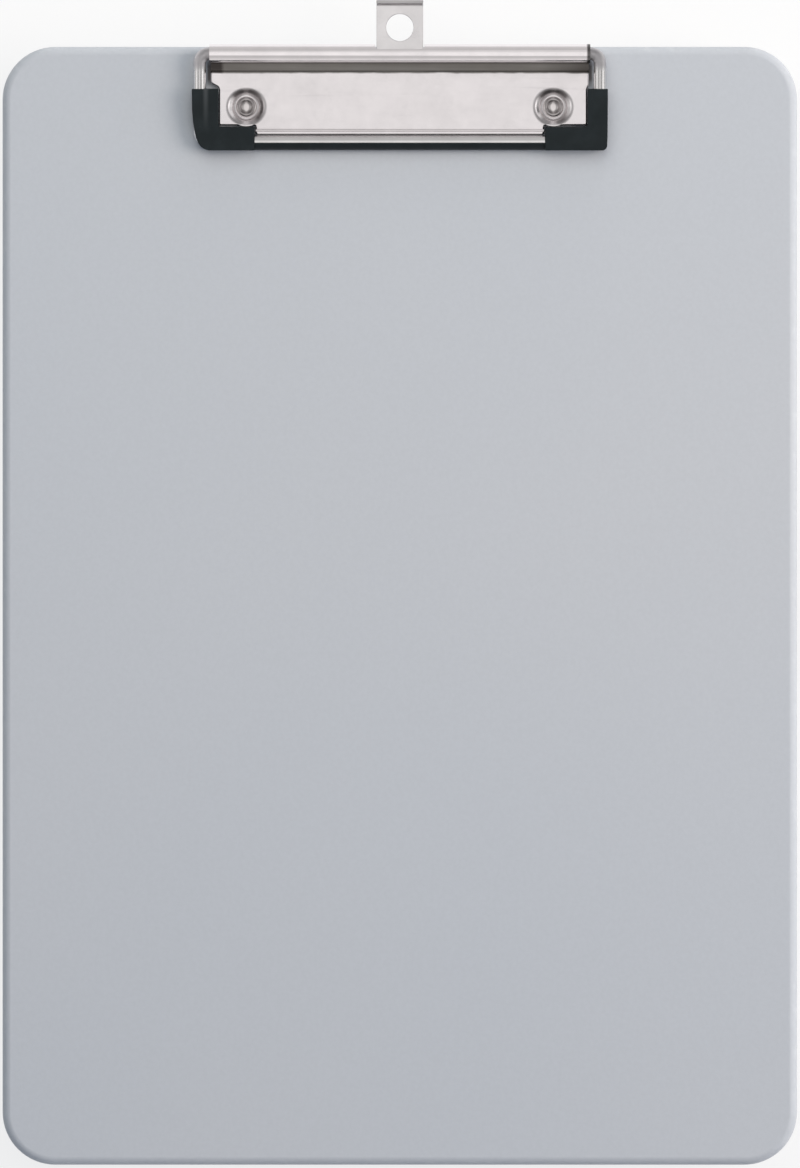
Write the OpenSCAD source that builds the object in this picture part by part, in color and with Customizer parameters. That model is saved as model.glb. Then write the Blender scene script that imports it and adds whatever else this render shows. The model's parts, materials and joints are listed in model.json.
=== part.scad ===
// Storage clipboard box. It lies on its feet with the writing face up.
// Origin: centre of the plane it rests on. +X is right, +Y is towards the clip, +Z is up.

/* [Writing face] */
// Width of the writing face
board_w = 226; // [200:1:320]
// Length of the writing face
board_l = 318; // [280:1:440]
// Corner radius of the writing face
corner_r = 15; // [10:0.5:30]
// Rounding of the face's upper edge
edge_r = 2.5; // [1:0.1:3]
// Thickness of the writing face
face_t = 2.2; // [1.8:0.1:4]

/* [Lid] */
// Height of the lid over its skirt
lid_h = 6.5; // [5:0.1:12]
// Thickness of the lid's skirt
skirt_t = 2; // [1.5:0.1:3]

/* [Tray] */
// Height of the tray from its underside to its rim
tray_h = 23.5; // [20:0.1:60]
// Thickness of the tray's walls
wall_t = 1.8; // [1.2:0.1:3]
// Thickness of the tray's floor
floor_t = 2; // [1.5:0.1:4]
// Corner radius of the tray
tray_corner_r = 7; // [5:0.5:12]
// Rounding of the tray's lower edge
tray_edge_r = 1.5; // [0.5:0.1:1.8]
// Gap between the tray's rim and the lid
rim_gap = 0.1; // [0:0.05:0.5]

/* [Feet] */
// Radius of a rubber foot
foot_r = 6.5; // [4:0.5:10]
// Thickness of a foot
foot_h = 1.2; // [1:0.1:2]
// How far a foot stands out of its pocket in the tray's underside
foot_out = 0.2; // [0.1:0.1:0.8]
// Radial clearance of a foot in its pocket
foot_clear = 0.1; // [0.05:0.05:0.5]
// Distance from the tray's sides to a foot's centre
foot_inset = 16; // [12:1:40]

/* [Hinge] */
// Radius of the hinge knuckles
knuckle_r = 2.6; // [2:0.1:4]
// Radius of the hinge and latch pins
pin_r = 1; // [0.6:0.1:1.5]
// Radial clearance of a pin in its knuckles
pin_clear = 0.06; // [0.02:0.01:0.1]
// Distance between the two hinges
hinge_pitch = 200; // [120:1:240]
// Length of a hinge's lid knuckle
lid_knuckle_l = 16; // [8:1:40]
// Length of each tray knuckle
tray_knuckle_l = 9; // [5:1:20]
// Gap between neighbouring knuckles
knuckle_gap = 0.3; // [0.2:0.05:1]
// How far the knuckles stay inside the lid's outline
knuckle_inset = 0.05; // [0.05:0.05:1]
// Gap between the knuckles and the tray's wall
wall_gap = 0.45; // [0.3:0.05:1]
// Gap between the knuckles and the skirt above them
skirt_gap = 0.3; // [0.2:0.05:1]
// Angle at which the lid's heels stop against the tray
lid_open_angle = 120; // [100:1:135]
// Gap left between a heel and the tray at that angle
heel_gap = 0.15; // [0.05:0.05:0.3]

/* [Latch] */
// Length of the clasp
clasp_l = 40; // [20:1:80]
// Length of each of the lid's latch knuckles
latch_knuckle_l = 8; // [5:1:20]
// Thickness of the clasp and its hook
clasp_t = 1.8; // [1.2:0.1:2.4]
// How far the clasp reaches below its pin
clasp_drop = 12; // [10:0.1:13]
// Height of the finger edge below the hook
clasp_finger_h = 2.4; // [1:0.1:3]
// How far the clasp's outer face stays inside the lid's outline
clasp_inset = 0.4; // [0.1:0.1:1]
// How far the catch stands out of the tray's wall
catch_out = 2; // [1:0.1:2.4]
// Height of the catch
catch_h = 1.5; // [1:0.1:3]
// How far the catch stops short of each end of the clasp
catch_short = 2; // [1:0.5:6]
// Gap between the hook and the catch above it
hook_gap = 0.3; // [0.2:0.05:0.6]
// Gap between the hook's tip and the tray's wall
hook_tip_gap = 0.7; // [0.4:0.1:1]

/* [Clip] */
// Thickness of the clip's sheet steel
sheet_t = 0.8; // [0.5:0.1:1]
// Radius of the bail's wire
wire_r = 1.8; // [1.2:0.1:2.4]
// Radial clearance of the wire in the curl
wire_clear = 0.1; // [0.02:0.01:0.1]
// How far the curl reaches past the plate's sides
curl_past = 0.3; // [0:0.1:1]
// Distance from the face's top edge to the bail's axis
clip_inset = 2.3; // [2:0.1:20]
// Distance between the centrelines of the bail's arms
bail_w = 113.6; // [90:0.2:150]
// Distance from the bail's axis to its front bar, measured along the face
bail_reach = 24.9; // [22:0.1:40]
// Bend radius of the wire at the curl and at the front corners
bend_r = 2.8; // [2.5:0.1:5]
// Length of wire inside each end of the curl
wire_tail_l = 14; // [8:1:30]
// Gap between the front bar and the writing face
paper_gap = 0.1; // [0.05:0.05:0.5]
// Gap between the front bar and the plate's front lip
lip_gap = 0.4; // [0.3:0.05:1]
// Height of the space under the plate
slide_h = 1.4; // [1:0.1:3]
// Distance from the plate's end to a rivet
rivet_inset = 10.1; // [8:0.1:30]
// Distance from the bail's axis to the rivets
rivet_from_axis = 15; // [12:0.1:20]
// Radius of a rivet's dished seat
dish_r = 5.25; // [4.5:0.05:7]
// Radius of the flat floor of that seat
dish_floor_r = 3.5; // [3:0.1:4.5]
// Radius of a rivet's head
rivet_head_r = 3; // [2.4:0.1:3.4]
// Radius of a rivet's shank
rivet_r = 1.6; // [1.2:0.1:2]
// Radial clearance of a rivet in its holes
rivet_clear = 0.05; // [0.02:0.01:0.2]
// Thickness of a rivet washer
washer_t = 0.5; // [0.4:0.1:1]
// Radius of a rivet washer
washer_r = 4; // [3.4:0.1:6]

/* [Corner grips] */
// Width of the left grip, which is the wider one
left_grip_w = 7.5; // [5:0.1:8]
// Width of the right grip
right_grip_w = 6; // [5:0.1:8]
// Length of a grip along the arm, from its front face
grip_arm_l = 17.4; // [14:0.1:20]
// Length of a grip along the front bar, from its outer face
grip_bar_l = 17.8; // [12:0.1:30]
// Depth of the grip's front leg
grip_bar_d = 6.6; // [6:0.1:8]
// How far the wire stands below a grip's underside
grip_lift = 0.3; // [0.1:0.05:0.6]
// Thickness of a grip over the wire
grip_top_t = 1; // [0.6:0.1:2]
// Thickness of a grip and of the bar's sleeve in front of the wire
grip_front_t = 0.6; // [0.4:0.1:2]
// Thickness of a grip outside the arm's wire
grip_side_t = 0.4; // [0.2:0.1:1]
// Outer corner radius of the left grip
left_corner_r = 3.5; // [1:0.1:4]
// Outer corner radius of the right grip
right_corner_r = 1.2; // [1:0.1:4]
// Gap between a grip and the plate beside it
grip_gap = 0.3; // [0.3:0.05:1]
// Gap between a grip's front leg and the plate behind it
notch_gap = 0.6; // [0.5:0.05:1.5]
// Gap between the wire and the grip moulded on it
grip_fit = 0.02; // [0:0.01:0.05]
// Angle from the bar's front up to the sleeve's upper edge
sleeve_up = 75; // [40:1:85]
// Angle from the bar's front down to the sleeve's lower edge
sleeve_down = 40; // [20:1:45]
// Gap between the sleeve and each grip
sleeve_gap = 0.1; // [0.05:0.05:0.5]

/* [Hanger tab] */
// Width of the hanger tab
hanger_w = 13.3; // [12:0.1:24]
// Thickness of the hanger tab
hanger_t = 1; // [0.6:0.1:1.2]
// Radius of the hanging hole
hang_hole_r = 3.85; // [2.5:0.05:5]
// Distance from the hole's centre to the tab's end
hanger_tip = 7.6; // [6:0.1:15]
// Height of the turned-up end above the tab
hanger_lip_h = 3; // [2:0.1:6]
// How far the tab slides in
hanger_travel = 11.2; // [10:0.1:11.8]
// Gap between the turned-up end and the curl when the tab is in
hanger_stop_gap = 0.3; // [0.2:0.05:1]
// Width of the tab's ears on each side
hanger_ear_w = 3.4; // [2:0.1:6]
// Length of the ears
hanger_ear_l = 4; // [2:0.1:4.5]
// Gap between the tab and the stops that guide it
guide_gap = 0.25; // [0.1:0.05:0.5]
// Length of the stops
guide_l = 2.6; // [2:0.1:3.2]
// Distance from the bail's axis to the stops
guide_from_axis = 3; // [3:0.1:6]

/* [Hidden] */
$fn = 96;
// How far pieces of one solid reach into each other
eps = 0.5;
// How far a cut runs past what it cuts
cut = 1;

// The tray and the lid
tray_z = foot_out;
rim_z = tray_z + tray_h;
lid_under_z = rim_z + rim_gap;
face_z = lid_under_z + face_t;
skirt_z = face_z - lid_h;
hinge_x = board_w / 2 - knuckle_r - knuckle_inset;
hinge_z = skirt_z - skirt_gap - knuckle_r;
tray_inset = board_w / 2 - hinge_x + knuckle_r + wall_gap;
tray_w = board_w - 2 * tray_inset;
tray_l = board_l - 2 * tray_inset;
web_h = 1.7 * knuckle_r;
// The heel's lower corner swings to heel_gap from the wall when the lid stands at lid_open_angle
heel_out = board_w / 2 - hinge_x;
heel_reach = knuckle_r + wall_gap - heel_gap;
heel_h = (heel_reach + heel_out * cos(lid_open_angle)) / sin(lid_open_angle);
hinge_pin_l = lid_knuckle_l + 2 * (knuckle_gap + tray_knuckle_l);

// The latch
clasp_outer_x = board_w / 2 - clasp_inset;
hook_z = hinge_z - clasp_drop + clasp_finger_h;
hook_x = tray_w / 2 + hook_tip_gap;
catch_z = hook_z + clasp_t + hook_gap;
catch_l = clasp_l - 2 * catch_short;
latch_pin_l = clasp_l + 2 * (knuckle_gap + latch_knuckle_l);

// The clip
curl_ir = wire_r + wire_clear;
curl_or = curl_ir + sheet_t;
axis_y = board_l / 2 - clip_inset;
axis_z = face_z + slide_h + curl_or;
curl_l = bail_w - 2 * bend_r;
bar_drop = axis_z - face_z - paper_gap - wire_r;
bail_arm = sqrt(bail_reach * bail_reach + bar_drop * bar_drop);
bail_tilt = atan(bar_drop / bail_reach);
plate_top_h = slide_h + sheet_t;
plate_w = curl_l - 2 * curl_past;
grip_outer = bail_w / 2 + wire_r + grip_side_t;
plate_front_y = axis_y - bail_reach + wire_r + lip_gap;
grip_front = bail_arm + wire_r + grip_front_t;
notch_y = axis_y - grip_front + grip_bar_d + notch_gap;
notch_w = grip_outer - grip_bar_l - grip_gap;
left_side = grip_outer - left_grip_w - grip_gap;
right_side = grip_outer - right_grip_w - grip_gap;
shoulder_y = axis_y - grip_front + grip_arm_l + grip_gap;
rivet_x = plate_w / 2 - rivet_inset;
rivet_y = axis_y - rivet_from_axis;
rivet_tail_w = 0.9;
rivet_tail_h = 0.6;
groove_r = 0.35;
curl_end_angle = 205;

// The hanger tab
hanger_end_y = axis_y + curl_or + hanger_stop_gap + hanger_travel + hanger_t;
hang_hole_y = hanger_end_y - hanger_tip;
guide_y = axis_y - guide_from_axis - guide_l;
hanger_front_y = guide_y - guide_gap - hanger_ear_l;

// Draws a flat outline in Y and Z and extrudes it along X, centred
module along_x(length) {
    rotate([90, 0, 90]) linear_extrude(length, center = true) children();
}

// Draws a flat outline in X and Z and extrudes it along Y, centred
module along_y(length) {
    rotate([90, 0, 0]) linear_extrude(length, center = true) children();
}

// A cylinder along X, centred
module rod_x(r, length) {
    rotate([0, 90, 0]) cylinder(r = r, h = length, center = true);
}

// A cylinder along Y, centred
module rod_y(r, length) {
    rotate([90, 0, 0]) cylinder(r = r, h = length, center = true);
}

// A box between two corners
module span(low, high) {
    translate(low) cube(high - low);
}

// A flat rectangle with round corners, centred
module round_rect(w, l, r) {
    square([w - 2 * r, l], center = true);
    square([w, l - 2 * r], center = true);
    for (x = [-1, 1], y = [-1, 1]) translate([x * (w / 2 - r), y * (l / 2 - r)]) circle(r);
}

// Half of a slab's section: reach from the centre, height h, upper edge rounded by e
module edge_section(reach, h, e) {
    square([reach, h - e]);
    square([reach - e, h]);
    translate([reach - e, h - e]) circle(e);
}

// A slab with round corners r and a rounded upper edge e, standing on z = 0
module slab(w, l, h, r, e) {
    along_y(l - 2 * r) {
        edge_section(w / 2, h, e);
        mirror([1, 0]) edge_section(w / 2, h, e);
    }
    for (side = [0, 1]) mirror([0, side, 0]) {
        translate([0, l / 2 - r, 0]) along_x(w - 2 * r) edge_section(r, h, e);
        translate([w / 2 - r, l / 2 - r, 0]) rotate_extrude(angle = 90) edge_section(r, h, e);
        translate([r - w / 2, l / 2 - r, 0]) rotate([0, 0, 90])
            rotate_extrude(angle = 90) edge_section(r, h, e);
    }
}

// A knuckle on the lid: its barrel and the stretch of skirt that carries it
module lid_knuckle(length, below_pin) {
    rod_y(knuckle_r, length);
    span([hinge_x - board_w / 2, -length / 2, -below_pin],
         [hinge_x - board_w / 2 + skirt_t, length / 2, skirt_z - hinge_z + eps]);
}

// A knuckle on the tray: its barrel and the web that joins it to the wall
module tray_knuckle(length) {
    rod_y(knuckle_r, length);
    span([0, -length / 2, -web_h / 2], [knuckle_r + wall_gap + eps, length / 2, web_h / 2]);
}

// Where the two hinges stand
module at_hinges() {
    for (side = [-1, 1]) translate([-hinge_x, side * hinge_pitch / 2, hinge_z]) children();
}

module tray() color([0.74, 0.76, 0.79]) difference() {
    union() {
        difference() {
            translate([0, 0, rim_z]) mirror([0, 0, 1])
                slab(tray_w, tray_l, tray_h, tray_corner_r, tray_edge_r);
            translate([0, 0, tray_z + floor_t]) linear_extrude(tray_h)
                round_rect(tray_w - 2 * wall_t, tray_l - 2 * wall_t, tray_corner_r - wall_t);
        }
        at_hinges() for (end = [-1, 1])
            translate([0, end * (lid_knuckle_l / 2 + knuckle_gap + tray_knuckle_l / 2), 0])
                tray_knuckle(tray_knuckle_l);
        span([tray_w / 2 - eps, -catch_l / 2, catch_z],
             [tray_w / 2 + catch_out, catch_l / 2, catch_z + catch_h]);
    }
    at_hinges() rod_y(pin_r + pin_clear, hinge_pin_l + cut);
    for (x = [-1, 1], y = [-1, 1]) at_foot(x, y) translate([0, 0, -cut])
        cylinder(r = foot_r + foot_clear, h = foot_h + cut);
}

// Where the foot on side x and side y stands
module at_foot(x, y) {
    translate([x * (tray_w / 2 - foot_inset), y * (tray_l / 2 - foot_inset), 0]) children();
}

module foot(x, y) color([0.12, 0.12, 0.13]) at_foot(x, y) cylinder(r = foot_r, h = foot_h);

module hinge_pin(side) color([0.75, 0.76, 0.78])
    translate([-hinge_x, side * hinge_pitch / 2, hinge_z]) rod_y(pin_r, hinge_pin_l);

module latch_pin() color([0.75, 0.76, 0.78])
    translate([hinge_x, 0, hinge_z]) rod_y(pin_r, latch_pin_l);

module lid() color([0.76, 0.78, 0.81]) difference() {
    union() {
        difference() {
            translate([0, 0, skirt_z]) slab(board_w, board_l, lid_h, corner_r, edge_r);
            translate([0, 0, skirt_z - cut]) linear_extrude(lid_h - face_t + cut)
                round_rect(board_w - 2 * skirt_t, board_l - 2 * skirt_t, corner_r - skirt_t);
        }
        at_hinges() lid_knuckle(lid_knuckle_l, heel_h);
        for (end = [-1, 1])
            translate([hinge_x, end * (clasp_l / 2 + knuckle_gap + latch_knuckle_l / 2), hinge_z])
                mirror([1, 0, 0]) lid_knuckle(latch_knuckle_l, 0);
    }
    at_hinges() rod_y(pin_r + pin_clear, hinge_pin_l);
    translate([hinge_x, 0, hinge_z]) rod_y(pin_r + pin_clear, latch_pin_l + cut);
    for (side = [-1, 1]) translate([side * rivet_x, rivet_y, lid_under_z - cut])
        cylinder(r = rivet_r + rivet_clear, h = face_t + 2 * cut);
}

module latch_clasp() color([0.3, 0.31, 0.33]) difference() {
    union() {
        translate([hinge_x, 0, hinge_z]) rod_y(knuckle_r, clasp_l);
        span([clasp_outer_x - clasp_t, -clasp_l / 2, hinge_z - clasp_drop],
             [clasp_outer_x, clasp_l / 2, hinge_z]);
        span([hook_x, -clasp_l / 2, hook_z], [clasp_outer_x - eps, clasp_l / 2, hook_z + clasp_t]);
    }
    translate([hinge_x, 0, hinge_z]) rod_y(pin_r + pin_clear, clasp_l + cut);
}

// The plate's outline, drawn in from its edge by inset. It is narrower beside the grips, and has
// a notch for each grip's front leg.
module plate_outline(inset) {
    side = plate_w / 2 - inset;
    left = left_side - inset;
    right = right_side - inset;
    notch = notch_w - inset;
    step = notch_y + inset;
    front = plate_front_y + inset;
    back = axis_y + (inset > 0 ? cut : 0);
    polygon([[-side, back], [-side, shoulder_y + side - left], [-left, shoulder_y], [-left, step],
             [-notch, step], [-notch, front], [notch, front], [notch, step], [right, step],
             [right, shoulder_y], [side, shoulder_y + side - right], [side, back]]);
}

// The rolled rear edge of the plate, open at its front
module curl_section() {
    far = 2 * curl_or;
    difference() {
        circle(curl_or);
        circle(curl_ir);
        polygon([[0, 0], [0, -far], [-far, -far],
                 far * [cos(curl_end_angle), sin(curl_end_angle)]]);
    }
    translate([-eps, -curl_or]) square([2 * eps, sheet_t]);
}

// Section of a rivet's seat: the sheet dished down to the writing face
module dish_section() {
    hole_r = rivet_r + rivet_clear;
    polygon([[hole_r, 0], [dish_floor_r, 0], [dish_r, slide_h], [dish_r, plate_top_h],
             [dish_floor_r, sheet_t], [hole_r, sheet_t]]);
}

module clip_base_plate() color([0.86, 0.84, 0.85]) {
    translate([0, 0, face_z]) difference() {
        linear_extrude(plate_top_h) plate_outline(0);
        translate([0, 0, -cut]) linear_extrude(slide_h + cut) plate_outline(sheet_t);
        for (side = [-1, 1]) translate([side * rivet_x, rivet_y, -cut])
            cylinder(r = dish_r, h = plate_top_h + 2 * cut);
        translate([0, plate_front_y + sheet_t + groove_r, plate_top_h])
            rod_x(groove_r, 2 * notch_w + cut);
    }
    for (side = [-1, 1]) translate([side * rivet_x, rivet_y, face_z])
        rotate_extrude() dish_section();
    for (side = [0, 1]) mirror([side, 0, 0])
        span([hanger_w / 2 + guide_gap, guide_y, face_z],
             [hanger_w / 2 + guide_gap + hanger_ear_w, guide_y + guide_l, face_z + slide_h]);
    translate([0, axis_y, axis_z]) along_x(curl_l) curl_section();
}

// Section of a tubular rivet from its head to its rolled tail, with z = 0 on the writing face
module rivet_section() {
    seat = sheet_t;
    under = -face_t - washer_t;
    ring_r = 0.62 * rivet_head_r;
    polygon([[0, seat + 0.35], [0.25 * rivet_head_r, seat + 0.35], [0.42 * rivet_head_r, seat + 0.8],
             [ring_r, seat + 0.95], [0.8 * rivet_head_r, seat + 0.8], [rivet_head_r, seat + 0.3],
             [rivet_head_r, seat], [rivet_r, seat], [rivet_r, under],
             [rivet_r + rivet_tail_w, under], [rivet_r + 0.8 * rivet_tail_w, under - rivet_tail_h],
             [0.5 * rivet_r, under - rivet_tail_h], [0, under]]);
}

module rivet(side) color([0.8, 0.78, 0.79])
    translate([side * rivet_x, rivet_y, face_z]) rotate_extrude() rivet_section();

module rivet_washer(side) color([0.7, 0.7, 0.72])
    translate([side * rivet_x, rivet_y, lid_under_z - washer_t]) difference() {
        cylinder(r = washer_r, h = washer_t);
        translate([0, 0, -cut]) cylinder(r = rivet_r + rivet_clear, h = washer_t + 2 * cut);
    }

// Places what is drawn in the bail's own plane: x along the axis, y away from it, towards the bar
module in_bail() {
    translate([0, axis_y, axis_z]) rotate([bail_tilt, 0, 0]) mirror([0, 1, 0]) children();
}

// The bail's wire, as thick as r, in its own plane
module wire_path(r) {
    arm_x = bail_w / 2;
    for (side = [0, 1]) mirror([side, 0, 0]) {
        translate([arm_x - bend_r - wire_tail_l / 2, 0, 0]) rod_x(r, wire_tail_l);
        translate([arm_x - bend_r, bend_r, 0]) rotate([0, 0, -90])
            rotate_extrude(angle = 90) translate([bend_r, 0]) circle(r);
        translate([arm_x, bail_arm / 2, 0]) rod_y(r, bail_arm - 2 * bend_r);
        translate([arm_x - bend_r, bail_arm - bend_r, 0])
            rotate_extrude(angle = 90) translate([bend_r, 0]) circle(r);
    }
    translate([0, bail_arm, 0]) rod_x(r, bail_w - 2 * bend_r);
}

module bail_wire() color([0.8, 0.79, 0.8]) in_bail() wire_path(wire_r);

// The outline of a grip of width w with corner radius r in the bail's plane, for the right side
module grip_outline(w, r) {
    translate([grip_outer - w, grip_front - grip_arm_l]) square([w, grip_arm_l - r]);
    translate([grip_outer - grip_bar_l, grip_front - grip_bar_d])
        square([grip_bar_l - r, grip_bar_d]);
    translate([grip_outer - r, grip_front - r]) circle(r);
}

// A grip of width w with corner radius r, for the right side
module corner_grip(w, r) color([0.05, 0.055, 0.06]) difference() {
    translate([0, 0, grip_lift - wire_r])
        linear_extrude(2 * wire_r - grip_lift + grip_top_t) grip_outline(w, r);
    wire_path(wire_r + grip_fit);
}

module corner_grip_left() in_bail() mirror([1, 0, 0]) corner_grip(left_grip_w, left_corner_r);

module corner_grip_right() in_bail() corner_grip(right_grip_w, right_corner_r);

// Section of the sleeve around the bar's front, with its angles measured from the front
module sleeve_section() {
    far = 3 * (wire_r + grip_front_t);
    intersection() {
        difference() {
            circle(wire_r + grip_front_t);
            circle(wire_r + grip_fit);
        }
        polygon([[0, 0], far * [cos(sleeve_down), -sin(sleeve_down)], [far, 0],
                 far * [cos(sleeve_up), sin(sleeve_up)]]);
    }
}

module bar_sleeve() color([0.05, 0.055, 0.06]) in_bail() translate([0, bail_arm, 0])
    along_x(2 * (grip_outer - grip_bar_l - sleeve_gap)) sleeve_section();

module hanger_tab() color([0.84, 0.83, 0.84]) translate([0, 0, face_z]) difference() {
    union() {
        span([-hanger_w / 2, hanger_front_y, 0], [hanger_w / 2, hanger_end_y, hanger_t]);
        span([-hanger_w / 2 - hanger_ear_w, hanger_front_y, 0],
             [hanger_w / 2 + hanger_ear_w, hanger_front_y + hanger_ear_l, hanger_t]);
        span([-hanger_w / 2, hanger_end_y - hanger_t, 0],
             [hanger_w / 2, hanger_end_y, hanger_t + hanger_lip_h]);
    }
    translate([0, hang_hole_y, -cut]) cylinder(r = hang_hole_r, h = hanger_t + 2 * cut);
}

tray();
foot(-1, -1);  // foot_front_left
foot(1, -1);  // foot_front_right
foot(-1, 1);  // foot_back_left
foot(1, 1);  // foot_back_right
hinge_pin(1);  // hinge_pin_upper
hinge_pin(-1);  // hinge_pin_lower
lid();
clip_base_plate();
rivet(-1);  // rivet_left
rivet(1);  // rivet_right
rivet_washer(-1);  // rivet_washer_left
rivet_washer(1);  // rivet_washer_right
latch_pin();
latch_clasp();
bail_wire();
corner_grip_left();
corner_grip_right();
bar_sleeve();
hanger_tab();
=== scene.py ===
"""Looks of a clipboard storage box: a shallow tray with a hinged writing face, a wire clip with
rubber grips, a sliding hanger tab and a side latch. Sizes in the code are in millimetres."""

import json
import math

import bmesh
import bpy
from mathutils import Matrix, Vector

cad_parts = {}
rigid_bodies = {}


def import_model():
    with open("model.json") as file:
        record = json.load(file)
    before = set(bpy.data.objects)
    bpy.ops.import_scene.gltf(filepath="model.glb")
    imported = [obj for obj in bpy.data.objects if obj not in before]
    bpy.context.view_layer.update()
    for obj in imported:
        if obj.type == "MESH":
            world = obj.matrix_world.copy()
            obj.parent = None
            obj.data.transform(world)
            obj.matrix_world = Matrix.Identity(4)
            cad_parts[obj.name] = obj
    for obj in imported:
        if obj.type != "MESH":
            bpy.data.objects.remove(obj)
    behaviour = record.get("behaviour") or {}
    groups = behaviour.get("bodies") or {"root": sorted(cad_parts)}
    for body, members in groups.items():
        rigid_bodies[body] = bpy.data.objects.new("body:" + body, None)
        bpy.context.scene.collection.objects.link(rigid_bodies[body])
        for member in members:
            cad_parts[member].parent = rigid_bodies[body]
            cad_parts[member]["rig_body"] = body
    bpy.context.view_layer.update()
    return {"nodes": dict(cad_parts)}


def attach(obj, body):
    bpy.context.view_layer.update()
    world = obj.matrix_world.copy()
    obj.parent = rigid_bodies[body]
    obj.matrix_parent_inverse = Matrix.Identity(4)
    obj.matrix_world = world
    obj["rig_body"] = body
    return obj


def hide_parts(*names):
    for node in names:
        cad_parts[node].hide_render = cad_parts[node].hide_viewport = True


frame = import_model()

MM = 0.001

# The writing face and the lid it belongs to
FACE_W, FACE_L, FACE_Z = 226, 318, 26
FACE_CORNER_R, FACE_EDGE_R = 15, 2.5
LID_UNDER_Z, SKIRT_Z, SKIRT_T = 23.8, 19.5, 2

# The tray
TRAY_W, TRAY_L, TRAY_Z, RIM_Z = 214.6, 306.6, 0.2, 23.7
TRAY_WALL, TRAY_FLOOR, TRAY_CORNER_R, TRAY_EDGE_R = 1.8, 2, 7, 1.5
FOOT_IN = 16

# Hinges and latch
HINGE_X, HINGE_Z, HINGE_Y = 110.35, 16.6, 100
KNUCKLE_R, BORE_R, PIN_R = 2.6, 1.06, 1
LID_KNUCKLE, TRAY_KNUCKLE, TRAY_KNUCKLE_Y = 16, 9, 12.8
LATCH_KNUCKLE, LATCH_KNUCKLE_Y = 8, 24.3
HINGE_PIN_L, LATCH_PIN_L = 34.6, 56.6
CLASP_L, CLASP_X, CLASP_T, CLASP_LOW, HOOK_X, HOOK_Z = 40, 112.6, 1.8, 4.6, 108, 7

# The clip
PLATE_TOP, SHEET_T = 28.2, 0.8
AXIS_Y, AXIS_Z, CURL_IN, CURL_OUT, CURL_X = 156.7, 30.1, 1.9, 2.7, 54
WIRE_R, BEND_R, ARM_X, ARM_L, TAIL_L, TILT = 1.8, 2.8, 56.8, 24.996, 14, 5.05
GRIP_X, GRIP_BAR_L = 59, 17.8
RIVET_X, RIVET_Y, RIVET_HOLE_R = 43.6, 141.7, 1.65

# The hanger tab
TAB_W, TAB_T, TAB_FRONT, TAB_END, TAB_LIP, HOLE_Y, HOLE_R = 13.3, 1, 146.85, 171.9, 3, 164.3, 3.85

# The studio: the camera over the face, and how far the floor is lifted towards white
CAMERA_X, CAMERA_Y, CAMERA_OVER_FACE, SENSOR, LENS = 0.05, 6.2, 2400, 36, 260.3
FLOOR_SIZE, FLOOR_LIFT = 12000, 0.78


# ---------------------------------------------------------------- modelling


def leave_edit():
    """Goes back to object mode with nothing selected."""
    if bpy.context.mode != "OBJECT":
        bpy.ops.object.mode_set(mode="OBJECT")
    bpy.ops.object.select_all(action="DESELECT")


def take(piece):
    """Makes this piece the only selected one."""
    leave_edit()
    piece.select_set(True)
    bpy.context.view_layer.objects.active = piece


def settle(piece):
    """Puts the object's place, turn and size into its mesh."""
    take(piece)
    bpy.ops.object.transform_apply(location=True, rotation=True, scale=True)
    return piece


def block(name, low, high):
    """A box between two corners."""
    leave_edit()
    middle = [(a + b) / 2 * MM for a, b in zip(low, high)]
    bpy.ops.mesh.primitive_cube_add(size=MM, location=middle)
    piece = bpy.context.object
    piece.name = name
    piece.scale = [b - a for a, b in zip(low, high)]
    return settle(piece)


def edit(piece, mode, action="DESELECT"):
    """Opens a piece for editing with nothing or all of it selected, and returns its mesh."""
    take(piece)
    bpy.ops.object.mode_set(mode="EDIT")
    bpy.ops.mesh.select_mode(type=mode)
    bpy.ops.mesh.select_all(action=action)
    return bmesh.from_edit_mesh(piece.data)


def pick_edges(piece, wanted):
    """Selects the edges whose two ends, in millimetres, are wanted."""
    mesh = edit(piece, "EDGE")
    for edge in mesh.edges:
        edge.select_set(wanted(edge.verts[0].co / MM, edge.verts[1].co / MM))
    mesh.select_flush_mode()
    bmesh.update_edit_mesh(piece.data)


def pick_faces(piece, wanted):
    """Selects the faces whose centre, in millimetres, and normal are wanted."""
    mesh = edit(piece, "FACE")
    for face in mesh.faces:
        face.select_set(wanted(face.calc_center_median() / MM, face.normal))
    mesh.select_flush_mode()
    bmesh.update_edit_mesh(piece.data)


def near(a, b, by=0.01):
    return abs(a - b) < by


def upright(a, b):
    """Says of an edge whether it stands upright."""
    return near(a.x, b.x) and near(a.y, b.y)


def level(z):
    """Says of an edge whether it lies at the height z."""
    return lambda a, b: near(a.z, z) and near(b.z, z)


def round_off(piece, wanted, radius, steps):
    """Rounds the wanted edges."""
    pick_edges(piece, wanted)
    bpy.ops.mesh.bevel(offset=radius * MM, segments=steps, affect="EDGES")
    leave_edit()


def push(x=0, y=0, z=0):
    """Extrudes the selected faces by this much."""
    bpy.ops.mesh.extrude_region_move(TRANSFORM_OT_translate={"value": (x * MM, y * MM, z * MM)})


def combine(piece, other, operation):
    """Joins the other piece on, or cuts it out, and removes it."""
    take(piece)
    bpy.ops.object.modifier_add(type="BOOLEAN")
    change = piece.modifiers[-1]
    change.operation, change.object, change.solver = operation, other, "EXACT"
    bpy.ops.object.modifier_apply(modifier=change.name)
    bpy.data.objects.remove(other)


def join(piece, other):
    combine(piece, other, "UNION")


def cut(piece, other):
    combine(piece, other, "DIFFERENCE")


def ease(piece, width, steps=2, angle=50):
    """Breaks every edge sharper than the angle."""
    take(piece)
    bpy.ops.object.modifier_add(type="BEVEL")
    change = piece.modifiers[-1]
    change.width, change.segments = width * MM, steps
    change.limit_method, change.angle_limit = "ANGLE", math.radians(angle)
    bpy.ops.object.modifier_apply(modifier=change.name)


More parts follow.
